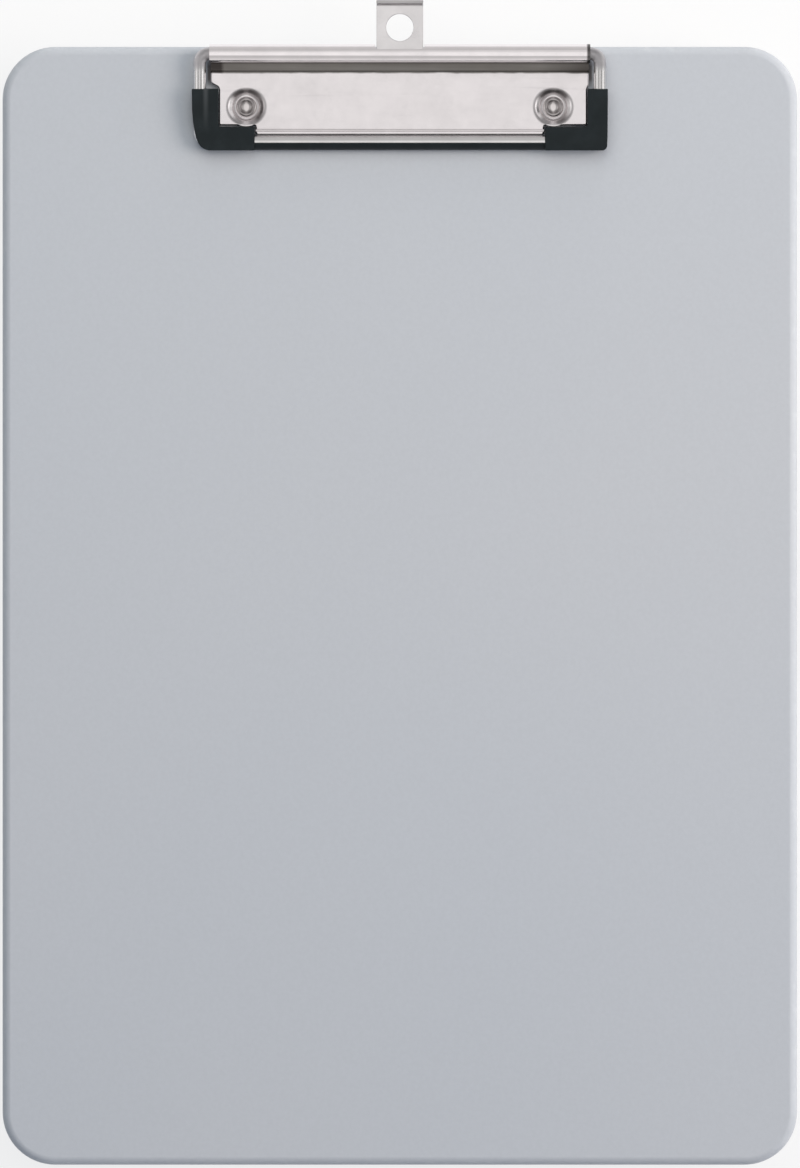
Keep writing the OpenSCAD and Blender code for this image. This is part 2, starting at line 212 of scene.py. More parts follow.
def clean(piece):
    """Merges doubled points and turns every face outwards."""
    edit(piece, "VERT", "SELECT")
    bpy.ops.mesh.remove_doubles(threshold=0.001 * MM)
    bpy.ops.mesh.normals_make_consistent(inside=False)
    leave_edit()
    return piece


def outline(name, points, axis, low, high):
    """A flat outline, drawn across an axis, and as thick as from low to high along it."""
    leave_edit()
    bpy.ops.mesh.primitive_circle_add(vertices=len(points), radius=MM, fill_type="NGON")
    piece = bpy.context.object
    piece.name = name
    for vertex, (a, b) in zip(piece.data.vertices, points):
        vertex.co = Vector({"X": (low, a, b), "Y": (a, low, b), "Z": (a, b, low)}[axis]) * MM
    edit(piece, "FACE", "SELECT")
    push(**{axis.lower(): high - low})
    return clean(piece)


def turned(name, rings, place, axis="Z", sides=48, hollow=False):
    """A turned piece. Each ring is its radius and its height along the axis. A hollow piece comes
    back to its first ring, and any other is closed at both ends."""
    leave_edit()
    fill = "NOTHING" if hollow else "NGON"
    bpy.ops.mesh.primitive_circle_add(vertices=sides, radius=rings[0][0] * MM, fill_type=fill)
    piece = bpy.context.object
    piece.name = name
    edit(piece, "EDGE", "SELECT")
    bpy.ops.transform.translate(value=(0, 0, rings[0][1] * MM))
    for (r0, z0), (r1, z1) in zip(rings, rings[1:]):
        bpy.ops.mesh.extrude_edges_move(TRANSFORM_OT_translate={"value": (0, 0, (z1 - z0) * MM)})
        wider = r1 / r0
        bpy.ops.transform.resize(value=(wider, wider, 1), center_override=(0, 0, z1 * MM))
    if not hollow:
        bpy.ops.mesh.edge_face_add()
    leave_edit()
    clean(piece)
    quarter = math.pi / 2
    piece.rotation_euler = {"X": (0, quarter, 0), "Y": (quarter, 0, 0), "Z": (0, 0, 0)}[axis]
    piece.location = Vector(place) * MM
    return settle(piece)


def lay_in_bail(piece):
    """Moves a piece drawn flat, with the bail's axis along X through the origin, to its place."""
    piece.location = Vector((0, AXIS_Y, AXIS_Z)) * MM
    piece.rotation_euler = (math.radians(TILT), 0, 0)
    settle(piece)


def finish(piece, body, material, node, angle=32):
    """Smooths a piece, gives it its finish and hands it to its body in place of the CAD node."""
    take(piece)
    bpy.ops.object.shade_smooth_by_angle(angle=math.radians(angle))
    bpy.ops.object.modifier_add(type="WEIGHTED_NORMAL")
    change = piece.modifiers[-1]
    change.keep_sharp = True
    bpy.ops.object.modifier_apply(modifier=change.name)
    piece.data.materials.clear()
    piece.data.materials.append(material)
    leave_edit()
    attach(piece, body)
    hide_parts(node)


# ---------------------------------------------------------------- finishes


class Nodes:
    """The nodes of one finish, or of the studio, with short calls for those that it uses. A noise
    has its scale in grains to the metre, and all other places and sizes are in millimetres."""

    SOCKETS = {"colour": "Base Color", "roughness": "Roughness", "metallic": "Metallic",
               "normal": "Normal", "specular": "Specular IOR Level"}

    def __init__(self, owner):
        owner.use_nodes = True
        self.owner, self.tree = owner, owner.node_tree
        self.coordinates = self.tree.nodes.new("ShaderNodeTexCoord").outputs
        self.place = self.coordinates["Object"]

    def put(self, value, socket):
        """Links a value to a socket, or sets it there."""
        if isinstance(value, bpy.types.NodeSocket):
            self.tree.links.new(value, socket)
        else:
            socket.default_value = value

    def add(self, kind, inputs=(), **settings):
        """A node with its settings made and its inputs set or linked."""
        node = self.tree.nodes.new(kind)
        for name, value in settings.items():
            setattr(node, name, value)
        for key, value in dict(inputs).items():
            self.put(value, node.inputs[key])
        return node

    def maths(self, operation, a, b=0.0):
        return self.add("ShaderNodeMath", {0: a, 1: b}, operation=operation).outputs[0]

    def times(self, value, *others):
        for other in others:
            value = self.maths("MULTIPLY", value, other)
        return value

    def vectors(self, operation, a, b=(0, 0, 0)):
        node = self.add("ShaderNodeVectorMath", {0: a, 1: b}, operation=operation)
        return node.outputs["Value" if operation in ("LENGTH", "DOT_PRODUCT") else "Vector"]

    def scaled(self, vector, by):
        inputs = {0: vector, "Scale": by}
        return self.add("ShaderNodeVectorMath", inputs, operation="SCALE").outputs[0]

    def parts(self, vector):
        """A vector's X, Y and Z."""
        return self.add("ShaderNodeSeparateXYZ", {0: vector}).outputs

    def xyz(self):
        """The place on the piece along X, Y and Z."""
        return self.parts(self.scaled(self.place, 1 / MM))

    def across(self, x, y):
        """The level way from an upright line to the place on the piece."""
        away = self.vectors("SUBTRACT", self.scaled(self.place, 1 / MM), (x, y, 0))
        return self.vectors("MULTIPLY", away, (1, 1, 0))

    def stretched(self, x, y, z):
        """The place on the piece, stretched along its axes, for a noise."""
        return self.add("ShaderNodeMapping", {"Vector": self.place, "Scale": (x, y, z)}).outputs[0]

    def noise(self, scale, detail=2.0, rough=0.5, place=None):
        inputs = {"Vector": place or self.place, "Scale": scale, "Detail": detail,
                  "Roughness": rough}
        return self.add("ShaderNodeTexNoise", inputs).outputs["Fac"]

    def spread(self, value, low, high, to_low=0.0, to_high=1.0):
        """Maps a value from one range to another, and holds it there."""
        inputs = {"Value": value, "From Min": low, "From Max": high, "To Min": to_low,
                  "To Max": to_high}
        return self.add("ShaderNodeMapRange", inputs).outputs[0]

    def band(self, value, low, high, soft):
        """1 from low to high and 0 elsewhere, with soft ends."""
        return self.times(self.spread(value, low - soft, low + soft),
                          self.spread(value, high + soft, high - soft))

    def mix(self, amount, a, b):
        """Goes from colour a to colour b."""
        inputs = {"Factor": amount, 6: a, 7: b}
        return self.add("ShaderNodeMix", inputs, data_type="RGBA").outputs[2]

    def ramp(self, value, stops):
        """A run of colours, each at its stop from 0 to 1."""
        node = self.add("ShaderNodeValToRGB", {"Fac": value})
        marks = node.color_ramp.elements
        while len(marks) < len(stops):
            marks.new(0.5)
        for mark, (position, colour) in zip(marks, stops):
            mark.position, mark.color = position, rgb(*colour)
        return node.outputs[0]

    def bump(self, height, distance, under=None):
        """A bump of this height, on top of another one."""
        inputs = {"Height": height, "Distance": distance * MM, "Strength": 1.0}
        if under:
            inputs["Normal"] = under
        return self.add("ShaderNodeBump", inputs).outputs["Normal"]

    def use(self, **sockets):
        """Sets or links the surface's own sockets, and returns the material."""
        surface = self.tree.nodes["Principled BSDF"]
        for name, value in sockets.items():
            self.put(value, surface.inputs[self.SOCKETS[name]])
        return self.owner


def rgb(r, g, b):
    return (r, g, b, 1.0)


def painted_shade(n, base, amount, light, dark):
    """Lays painted shade of uneven depth over the base where the amount is 1."""
    depth = n.spread(n.noise(120, 4, 0.6, n.stretched(0.15, 4, 1)), 0.3, 0.7)
    return n.mix(amount, base, n.mix(depth, light, dark))


def face_gap_shade(n, base):
    """Painted shade on the face, in the narrow gaps between the clip plate and the wire's arms."""
    x, y, z = n.xyz()
    beside = n.band(n.maths("ABSOLUTE", x), 53.4, 54.7, 0.3)
    gap = n.times(beside, n.band(y, 148.5, 154.5, 1.2), n.spread(z, 25.4, 25.7))
    return n.mix(gap, base, rgb(0.12, 0.11, 0.11))


def plate_painted_light(n, base):
    """A painted highlight makes the curl brighter than the plate. Painted shade darkens the crease
    under the curl, darker still towards its ends, the curl's right end, and arcs round the rivet
    dishes."""
    x, y, z = n.xyz()
    # Painted highlight: the curl, above the plate, is made up to 12% brighter.
    base = n.scaled(base, n.spread(z, 28.5, 29.3, 1.0, 1.12))
    wander = n.times(n.maths("SUBTRACT", n.noise(220, 3, 0.6), 0.5), 0.6)
    # Painted shade along the crease under the curl.
    crease = n.times(n.band(n.maths("ADD", y, wander), 151.25, 155.6, 0.22),
                     n.spread(z, 29.2, 28.8))
    base = painted_shade(n, base, crease, rgb(0.15, 0.14, 0.13), rgb(0.2, 0.19, 0.18))
    # Painted shade, darker still towards the ends of the crease.
    ends = n.maths("MAXIMUM", n.spread(x, -49.8, -50.8, 0, 0.9), n.spread(x, 40, 53, 0, 0.75))
    base = painted_shade(n, base, n.times(crease, ends), rgb(0.03, 0.026, 0.025),
                   rgb(0.07, 0.062, 0.058))
    # Painted shade at the curl's right end.
    curl_end_shade = n.times(n.spread(x, 52.9, 53.3), n.spread(z, 28.4, 29))
    base = painted_shade(n, base, curl_end_shade, rgb(0.09, 0.085, 0.085), rgb(0.2, 0.19, 0.19))
    # Painted shade: arcs on one side of the rivet dishes.
    for rivet_x, toward, reach in ((-RIVET_X, (0.68, 0.73, 0), -0.2), (RIVET_X, (0, 1, 0), 0.45),
                                   (RIVET_X, (0.6, -0.8, 0), 0.9)):
        away = n.across(rivet_x, RIVET_Y)
        ring = n.band(n.vectors("LENGTH", away), 3.95, 5.1, 0.35)
        lean = n.vectors("DOT_PRODUCT", n.vectors("NORMALIZE", away), toward)
        arc = n.times(ring, n.spread(lean, reach - 0.15, reach + 0.2), 0.9)
        base = painted_shade(n, base, arc, rgb(0.1, 0.085, 0.085), rgb(0.24, 0.21, 0.21))
    return base


def wire_bend_shade(n, base):
    """Painted shade: the wire's colour is dimmed where it is bent into the curl."""
    bend = n.times(n.spread(n.xyz()[1], 151.8, 153.4), 0.9)
    return painted_shade(n, base, bend, rgb(0.57, 0.55, 0.56), rgb(0.65, 0.63, 0.645))


def tab_end_shade(n, base):
    """Painted shade: the tab's turned-up end is darker."""
    place = n.xyz()
    end = n.times(n.spread(place[1], 170.6, 171), n.spread(place[2], 28.2, 29.2))
    return painted_shade(n, base, end, rgb(0.42, 0.41, 0.41), rgb(0.55, 0.54, 0.54))


def rivet_groove_shade(n, base):
    """Painted shade in the groove between a rivet's rolled ring and its middle."""
    for x in (-RIVET_X, RIVET_X):
        far = n.vectors("LENGTH", n.across(x, RIVET_Y))
        groove = n.times(n.band(far, 1.4, 2.6, 0.3), 0.7)
        base = painted_shade(n, base, groove, rgb(0.2, 0.18, 0.18), rgb(0.38, 0.35, 0.35))
    return base


def grip_ridge_highlight(n, base):
    """Painted highlight: the ridge down the left grip is paler."""
    place = n.xyz()
    ridge = n.times(n.band(place[0], -55.6, -54.5, 0.4), n.spread(place[1], 134.5, 147))
    return n.mix(ridge, base, rgb(0.05, 0.056, 0.06))


def moulded_plastic(name, plain, cool, scuffed, grain, roughness, marks=None):
    """Satin moulded plastic: slight clouds of a cooler shade, a fine grain, pale scuffs that
    gather on the rounded edges, and the painted light and shade that belong to the piece."""
    n = Nodes(bpy.data.materials.new(name))
    base = n.mix(n.spread(n.noise(6, 2, 0.4), 0.2, 0.8), plain, cool)
    base = n.scaled(base, n.spread(n.noise(grain * 0.35, 2), 0.3, 0.7, 0.985, 1.015))
    up = n.parts(n.coordinates["Normal"])[2]
    rounded = n.times(n.spread(up, 0.97, 0.8), n.spread(up, 0.05, 0.3))
    scuffs = n.times(rounded, n.spread(n.noise(160, 4, 0.7), 0.52, 0.72), 0.35)
    scratches = n.spread(n.noise(60, 5, 0.75, n.stretched(1, 9, 1)), 0.66, 0.75, 0, 0.05)
    base = n.mix(n.maths("MAXIMUM", scuffs, scratches), base, scuffed)
    if marks:
        base = marks(n, base)
    gloss = n.spread(n.noise(25, 4, 0.6), 0.3, 0.7, roughness - 0.04, roughness + 0.05)
    gloss = n.maths("ADD", gloss, n.times(scuffs, 0.4))
    waves = n.bump(n.noise(30, 2), 0.012)
    return n.use(colour=base, roughness=gloss, specular=0.4,
                 normal=n.bump(n.noise(grain, 3, 0.6), 0.012, waves))


def chromed_steel(name, bright, tarnish, roughness, marks=None, worn=None):
    """Nickel-chromed sheet or wire: rolled streaks, faint smudges, hair scratches and a little
    ripple, and the painted light and shade that belong to the piece. Worn says between which two
    places along Y the surface turns rougher, and by how much."""
    n = Nodes(bpy.data.materials.new(name))
    smudge = n.spread(n.noise(90, 4, 0.65), 0.4, 0.75)
    base = n.mix(n.times(smudge, 0.35), bright, tarnish)
    if marks:
        base = marks(n, base)
    gloss = n.spread(n.noise(140, 5, 0.7), 0.3, 0.75, roughness, roughness + 0.09)
    scratch = n.spread(n.noise(900, 2, 0.5, n.stretched(0.04, 1, 1)), 0.62, 0.7)
    gloss = n.maths("ADD", gloss, n.times(scratch, 0.035))
    if worn:
        start, end, rougher = worn
        gloss = n.maths("ADD", gloss, n.spread(n.xyz()[1], start, end, 0, rougher))
    ripple = n.bump(n.noise(60, 2), 0.012)
    streaks = n.bump(n.noise(1500, 2, 0.5, n.stretched(0.05, 1, 1)), 0.0012, ripple)
    return n.use(colour=base, roughness=gloss, metallic=1.0, normal=streaks)


def black_rubber(name, dark, dusty, grain, roughness, marks=None):
    """Moulded rubber with a fine grain, dusty in patches, and the painted highlight of its own
    piece.
    """
    n = Nodes(bpy.data.materials.new(name))
    base = n.mix(n.spread(n.noise(130, 5, 0.65), 0.45, 0.8), dark, dusty)
    if marks:
        base = marks(n, base)
    gloss = n.spread(n.noise(300, 4, 0.6), 0.3, 0.7, roughness - 0.06, roughness + 0.08)
    soft = n.bump(n.noise(120, 3), 0.03)
    return n.use(colour=base, roughness=gloss, specular=0.25,
                 normal=n.bump(n.noise(grain, 3, 0.6), 0.012, soft))


FACE_FINISH = moulded_plastic("satin_grey_face", rgb(0.535, 0.55, 0.58), rgb(0.515, 0.54, 0.58),
                              rgb(0.68, 0.7, 0.72), 2600, 0.42, face_gap_shade)
TRAY_FINISH = moulded_plastic("satin_grey_tray", rgb(0.49, 0.505, 0.535), rgb(0.475, 0.495, 0.535),
                              rgb(0.64, 0.66, 0.69), 1500, 0.48)
LATCH_FINISH = moulded_plastic("slate_latch", rgb(0.075, 0.08, 0.09), rgb(0.065, 0.073, 0.085),
                               rgb(0.2, 0.21, 0.22), 1800, 0.42)
PLATE_FINISH = chromed_steel("chromed_plate", rgb(0.85, 0.815, 0.825), rgb(0.73, 0.7, 0.705), 0.16,
                             plate_painted_light)
WIRE_FINISH = chromed_steel("chromed_wire", rgb(0.8, 0.79, 0.79), rgb(0.62, 0.6, 0.59), 0.17,
                            wire_bend_shade, (151.5, 153.2, 0.28))
TAB_FINISH = chromed_steel("chromed_tab", rgb(0.84, 0.82, 0.825), rgb(0.66, 0.64, 0.64), 0.2,
                           tab_end_shade)
RIVET_FINISH = chromed_steel("plated_rivet", rgb(0.78, 0.74, 0.735), rgb(0.5, 0.45, 0.43), 0.14,
                             rivet_groove_shade)
WASHER_FINISH = chromed_steel("zinc_washer", rgb(0.6, 0.6, 0.58), rgb(0.42, 0.42, 0.4), 0.3)
PIN_FINISH = chromed_steel("bright_steel_pin", rgb(0.62, 0.62, 0.63), rgb(0.45, 0.45, 0.46), 0.24)
GRIP_FINISH = black_rubber("black_grip_rubber", rgb(0.0085, 0.0125, 0.0145),
                           rgb(0.015, 0.021, 0.024), 2400, 0.42, grip_ridge_highlight)
FOOT_FINISH = black_rubber("black_foot_rubber", rgb(0.012, 0.012, 0.013), rgb(0.03, 0.03, 0.03),
                           1600, 0.6)


# ---------------------------------------------------------------- the lid


def barrel(name, x, y, length):
    """A hinge barrel along Y, with its ends broken."""
    half, broken = length / 2, 0.25
    rings = [(KNUCKLE_R - broken, -half), (KNUCKLE_R, broken - half), (KNUCKLE_R, half - broken),
             (KNUCKLE_R - broken, half)]
    return turned(name, rings, (x, y, HINGE_Z), "Y")


def bore(piece, x, y, length):
    """Bores a barrel of this length for its pin."""
    past = length / 2 + 1
    cut(piece, turned("bore", [(BORE_R, -past), (BORE_R, past)], (x, y, HINGE_Z), "Y", 32))


def knuckle(name, x, y, length, low, high, wall_low, wall_high):
    """A bored hinge barrel along Y, with the web that carries it."""
    piece = barrel(name, x, y, length)
    half_web = length / 2 - 0.1
    join(piece, block("web", (wall_low, y - half_web, low), (wall_high, y + half_web, high)))
    bore(piece, x, y, length)
    return piece


def pin_marks(places, z, up):
    """Shallow round marks, as ejector pins leave, as one cutter that reaches into the face at z."""
    radius, deep, clear = 2.5, 0.15, 1
    heights = (z - deep, z + clear) if up else (z - clear, z + deep)
    cutter = None
    for x, y in places:
        mark = turned("mark", [(radius, height) for height in heights], (x, y, 0), "Z", 32)
        if cutter:
            join(cutter, mark)
        else:
            cutter = mark
    return cutter


def make_lid():
    """The writing face with its rounded edge, the skirt under it and the knuckles."""
    half_w, half_l = FACE_W / 2, FACE_L / 2
    lid = block("writing_face_lid", (-half_w, -half_l, SKIRT_Z), (half_w, half_l, FACE_Z))
    round_off(lid, upright, FACE_CORNER_R, 16)
    round_off(lid, level(FACE_Z), FACE_EDGE_R, 8)
    pick_faces(lid, lambda centre, normal: normal.z < -0.9)
    bpy.ops.mesh.inset(thickness=SKIRT_T * MM)
    push(z=LID_UNDER_Z - SKIRT_Z)
    leave_edit()
    round_off(lid, level(SKIRT_Z), 0.35, 2)
    round_off(lid, level(LID_UNDER_Z), 0.8, 4)
    heel, web_top = HINGE_Z - 1.82, SKIRT_Z + 0.6
    wall_out, wall_in = half_w - 0.02, half_w - SKIRT_T
    for side in (-1, 1):
        join(lid, knuckle("lid_knuckle", -HINGE_X, side * HINGE_Y, LID_KNUCKLE, heel, web_top,
                          -wall_out, -wall_in))
        join(lid, knuckle("latch_knuckle", HINGE_X, side * LATCH_KNUCKLE_Y, LATCH_KNUCKLE,
                          HINGE_Z, web_top, wall_in, wall_out))
        cut(lid, turned("rivet_hole", [(RIVET_HOLE_R, 20), (RIVET_HOLE_R, 30)],
                        (side * RIVET_X, RIVET_Y, 0), sides=32))
    marks = [(x, y) for x in (-80, 80) for y in (-125, -42, 42, 118)] + [(0, -125), (0, 0)]
    cut(lid, pin_marks(marks, LID_UNDER_Z, False))
    finish(lid, "lid", FACE_FINISH, "lid")


# ---------------------------------------------------------------- the clip


def make_clip_plate():
    """The pressed plate with its bead groove and dished rivet seats, and the curl behind it."""
    front, back, notch_y, notch = 133.85, 156.3, 136.5, 40.9
    side, left, right, shoulder = 53.7, 51.35, 53.15, 147.2
    edge = [(-side, back), (-side, shoulder + 1.3), (-left, shoulder), (-left, notch_y),
            (-notch, notch_y), (-notch, front), (notch, front), (notch, notch_y),
            (right, notch_y), (right, shoulder), (side, shoulder + 0.4), (side, back)]
    plate = outline("clip_plate", edge, "Z", FACE_Z, PLATE_TOP)
    round_off(plate, lambda a, b: upright(a, b) and a.y < 150, 0.6, 4)
    round_off(plate, lambda a, b: level(PLATE_TOP)(a, b) and min(a.y, b.y) < back - 0.1, 0.4, 5)
    hollow = [(x - math.copysign(SHEET_T, x), y + (SHEET_T if y < 140 else 0)) for x, y in edge]
    hollow[0], hollow[-1] = (SHEET_T - side, back + 1), (side - SHEET_T, back + 1)
    cut(plate, outline("hollow", hollow, "Z", FACE_Z - 1, PLATE_TOP - SHEET_T))
    cut(plate, turned("groove", [(0.4, -60), (0.4, 60)], (0, front + 1.15, PLATE_TOP + 0.12), "X",
                      24))
    dip_z = PLATE_TOP - 0.4
    dip = block("dip", (-60, 151.7, dip_z), (60, 155.5, PLATE_TOP + 2))
    round_off(dip, lambda a, b: level(dip_z)(a, b) and near(a.y, b.y), 0.35, 4)
    cut(plate, dip)
    seat = [(3.6, 0), (5.5, 1.5), (5.5, 2.1)]
    dish = [(RIVET_HOLE_R, -1), (RIVET_HOLE_R, SHEET_T), (3.15, SHEET_T), (3.45, 0.84),
            (3.7, 0.98), (4.75, 1.82), (5.0, 1.98), (5.3, 2.12), (5.7, 2.185), (6.3, 2.21),
            (6.3, 4)]
    for sign in (-1, 1):
        place = (sign * RIVET_X, RIVET_Y, FACE_Z)
        join(plate, turned("seat", seat, place, sides=64))
        cut(plate, turned("dish", dish, place, sides=64))
    curl = block("curl", (-CURL_X, AXIS_Y - 1.2, AXIS_Z - CURL_OUT),
                 (CURL_X, AXIS_Y, AXIS_Z - CURL_IN))
    pick_faces(curl, lambda centre, normal: normal.y > 0.9)
    bpy.ops.mesh.spin(steps=48, angle=math.radians(295), center=(0, AXIS_Y * MM, AXIS_Z * MM),
                      axis=(-1, 0, 0))
    leave_edit()
    join(plate, clean(curl))
    half_slot = TAB_W / 2 + 0.3
    slot = block("tab_slot", (-half_slot, 157.75, 27.15), (half_slot, 162, 34))
    round_off(slot, lambda a, b: upright(a, b) and a.y < 159, 1, 4)
    cut(plate, slot)
    ease(plate, 0.1)
    finish(plate, "lid", PLATE_FINISH, "clip_base_plate")


def make_rivets():
    """Tubular rivets: a rolled ring with a sunk middle, and the rolled tail under the lid, each
    with its washer."""
    rings = [(0.25, 0.62), (0.6, 0.615), (0.95, 0.6), (1.2, 0.55), (1.36, 0.48), (1.5, 0.52),
             (1.66, 0.74), (1.86, 0.95), (2.15, 1.04), (2.45, 0.98), (2.75, 0.8), (2.95, 0.55),
             (3.02, 0.3), (2.98, 0.06), (1.6, 0.05), (1.6, -3.5), (2.45, -3.52), (2.5, -3.7),
             (2.3, -4), (1.9, -4.12), (1.4, -4.05), (1.0, -3.8), (0.6, -3.7)]
    washer = [(1.66, -0.45), (1.75, -0.5), (3.85, -0.5), (4.0, -0.4), (4.0, -0.02), (1.66, -0.02),
              (1.66, -0.45)]
    for x, where in ((-RIVET_X, "left"), (RIVET_X, "right")):
        rivet = turned(f"rivet_{where}_tubular", rings, (x, RIVET_Y, FACE_Z + SHEET_T))
        finish(rivet, "lid", RIVET_FINISH, f"rivet_{where}")
        ring = turned(f"rivet_washer_{where}_zinc", washer, (x, RIVET_Y, LID_UNDER_Z), hollow=True)
        finish(ring, "lid", WASHER_FINISH, f"rivet_washer_{where}")


def make_bail():
    """The spring wire: two tails in the curl, two arms and the front bar, in one length."""
    far = ARM_X - BEND_R
    bpy.ops.mesh.primitive_circle_add(vertices=32, radius=WIRE_R * MM, fill_type="NGON",
                                      location=((far - TAIL_L) * MM, 0, 0),
                                      rotation=(0, math.pi / 2, 0))
    wire = bpy.context.object
    wire.name = "bail_spring_wire"
    settle(wire)
    edit(wire, "FACE", "SELECT")
    arm = ARM_L - 2 * BEND_R
    runs = [(TAIL_L, 0), (0, -arm), (-2 * far, 0), (0, arm), (TAIL_L, 0)]
    bends = [(far, -BEND_R), (far, BEND_R - ARM_L), (-far, BEND_R - ARM_L), (-far, -BEND_R), None]
    for (x, y), bend in zip(runs, bends):
        push(x=x, y=y)
        if bend:
            bpy.ops.mesh.spin(steps=10, angle=math.pi / 2, axis=(0, 0, 1),
                              center=(bend[0] * MM, bend[1] * MM, 0))
    leave_edit()
    clean(wire)
    ease(wire, 0.4, 3, 60)
    lay_in_bail(wire)
    finish(wire, "bail", WIRE_FINISH, "bail_wire", 40)


def make_grip(where, width, flank, lip=0):
    """A moulded corner over the wire. The flank is its outer side, from the arm's end down, as
    offsets from the corner. With a lip, its inner side falls away from a ridge."""
    front, arm_l, bar_d, low, high = ARM_L + 2.4, 17.4, 6.6, -1.5, 2.8
    inner, arm_y, bar_y = GRIP_X - width, arm_l - front, bar_d - front
    side = -1 if where == "left" else 1
    points = [(inner, arm_y), (GRIP_X, arm_y)]
    points += [(GRIP_X - x, y - front) for x, y in flank]
    points += [(GRIP_X - GRIP_BAR_L, -front), (GRIP_X - GRIP_BAR_L, bar_y), (inner, bar_y)]
    grip = outline(f"corner_grip_{where}_rubber", [(side * x, y) for x, y in points], "Z", low,
                   high)
    if lip:
        ridge = GRIP_X - 3.7
        edit(grip, "FACE", "SELECT")
        bpy.ops.mesh.bisect(plane_co=(side * ridge * MM, 0, 0), plane_no=(1, 0, 0))
        mesh = edit(grip, "VERT")
        for vertex in mesh.verts:
            x, y, z = vertex.co / MM
            if near(z, high) and near(abs(x), inner) and y > bar_y - 0.1:
                vertex.co.z -= lip * MM
        bmesh.update_edit_mesh(grip.data)
        leave_edit()
    round_off(grip, lambda a, b: upright(a, b) and near(abs(a.x), inner) and near(a.y, bar_y),
              0.8, 3)
    ease(grip, 0.55, 4, 28)
    lay_in_bail(grip)
    finish(grip, "bail", GRIP_FINISH, f"corner_grip_{where}", 40)


def make_sleeve():
    """The rubber strip along the front of the bar, from grip to grip."""
    half = GRIP_X - GRIP_BAR_L - 0.02
    thin, thick = WIRE_R + 0.01, WIRE_R + 0.6
    first, sweep, steps = -40, 122, 14
    angles = [math.radians(first + sweep * i / steps) for i in range(steps + 1)]
    arc = [(-thick * math.cos(a), thick * math.sin(a)) for a in angles]
    arc += [(-thin * math.cos(a), thin * math.sin(a)) for a in reversed(angles)]
    sleeve = outline("bar_sleeve_rubber", [(y - ARM_L, z) for y, z in arc], "X", -half, half)
    ease(sleeve, 0.12)
    lay_in_bail(sleeve)
    finish(sleeve, "bail", GRIP_FINISH, "bar_sleeve")


def make_hanger_tab():
    """The sliding tab: two ears at its front, a hanging hole and a turned-up end."""
    half, bend, lift, ear_l, ear_w = TAB_W / 2, 0.7, 0.03, 4, 3.4
    bend_y, ear_y = TAB_END - TAB_T - bend, TAB_FRONT + ear_l
    tab = block("hanger_tab_steel", (-half, TAB_FRONT, FACE_Z + lift),
                (half, bend_y, FACE_Z + TAB_T))
    edit(tab, "FACE", "SELECT")
    bpy.ops.mesh.bisect(plane_co=(0, ear_y * MM, 0), plane_no=(0, 1, 0))
    for side in (-1, 1):
        pick_faces(tab, lambda centre, normal: normal.x * side > 0.9 and centre.y < ear_y)
        push(x=side * ear_w)
        leave_edit()
    pick_faces(tab, lambda centre, normal: normal.y > 0.9 and centre.y > ear_y + 2)
    bpy.ops.mesh.spin(steps=8, angle=math.pi / 2, axis=(-1, 0, 0),
                      center=(0, bend_y * MM, (FACE_Z + TAB_T + bend) * MM))
    push(z=TAB_LIP - bend)
    leave_edit()
    clean(tab)
    cut(tab, turned("hole", [(HOLE_R, 20), (HOLE_R, 32)], (0, HOLE_Y, 0), sides=64))
    ease(tab, 0.16, 3)
    finish(tab, "hanger", TAB_FINISH, "hanger_tab")


# ---------------------------------------------------------------- tray, hinges and latch


def make_tray():
    """The storage tray with its rounded lower edge, parting groove, knuckles, catch and pockets."""
    half_w, half_l, floor_z = TRAY_W / 2, TRAY_L / 2, TRAY_Z + TRAY_FLOOR
    tray = block("storage_tray", (-half_w, -half_l, TRAY_Z), (half_w, half_l, RIM_Z))
    round_off(tray, upright, TRAY_CORNER_R, 10)
    round_off(tray, level(TRAY_Z), TRAY_EDGE_R, 5)
    pick_faces(tray, lambda centre, normal: normal.z > 0.9)
    bpy.ops.mesh.inset(thickness=TRAY_WALL * MM)
    push(z=floor_z - RIM_Z)
    leave_edit()
    round_off(tray, level(floor_z), 1.4, 5)
    round_off(tray, level(RIM_Z), 0.35, 2)
    for side in (-1, 1):
        for end in (-1, 1):
            y = side * HINGE_Y + end * TRAY_KNUCKLE_Y
            join(tray, knuckle("tray_knuckle", -HINGE_X, y, TRAY_KNUCKLE, HINGE_Z - 2.2,
                               HINGE_Z + 2.2, -HINGE_X, 0.5 - half_w))
    groove = 0.35
    belt = block("belt", (-half_w - 1, -half_l - 1, 5.6), (half_w + 1, half_l + 1, 6.3))
    core = block("core", (groove - half_w, groove - half_l, 5),
                 (half_w - groove, half_l - groove, 7))
    round_off(core, upright, TRAY_CORNER_R - groove, 10)
    cut(belt, core)
    cut(tray, belt)
    catch = block("catch", (half_w - 0.5, -18, 9.1), (half_w + 2, 18, 10.6))
    round_off(catch, lambda a, b: a.x > half_w and b.x > half_w, 0.3, 2)
    join(tray, catch)
    for x in (FOOT_IN - half_w, half_w - FOOT_IN):
        for y in (FOOT_IN - half_l, half_l - FOOT_IN):
            cut(tray, turned("pocket", [(6.6, -1), (6.6, 1.2)], (x, y, 0)))
    marks = [(x, y) for x in (-78, 78) for y in (-110, -38, 38, 110)] + [(0, -110), (0, 110)]
    cut(tray, pin_marks(marks, floor_z, True))
    finish(tray, "tray", TRAY_FINISH, "tray")


def make_feet():
    """Rubber pads with a rounded rim and a shallow sunk middle."""
    rings = [(5.9, 1.19), (6.5, 1.19), (6.5, 0.35), (6.42, 0.14), (6.2, 0.02), (5.9, 0), (4.6, 0),
             (4.4, 0.05), (4.2, 0.16), (3.9, 0.2)]
    for x, side in ((-1, "left"), (1, "right")):
        for y, end in ((-1, "front"), (1, "back")):
            place = (x * (TRAY_W / 2 - FOOT_IN), y * (TRAY_L / 2 - FOOT_IN), 0)
            foot = turned(f"foot_{end}_{side}_pad", rings, place)
            finish(foot, "tray", FOOT_FINISH, f"foot_{end}_{side}")


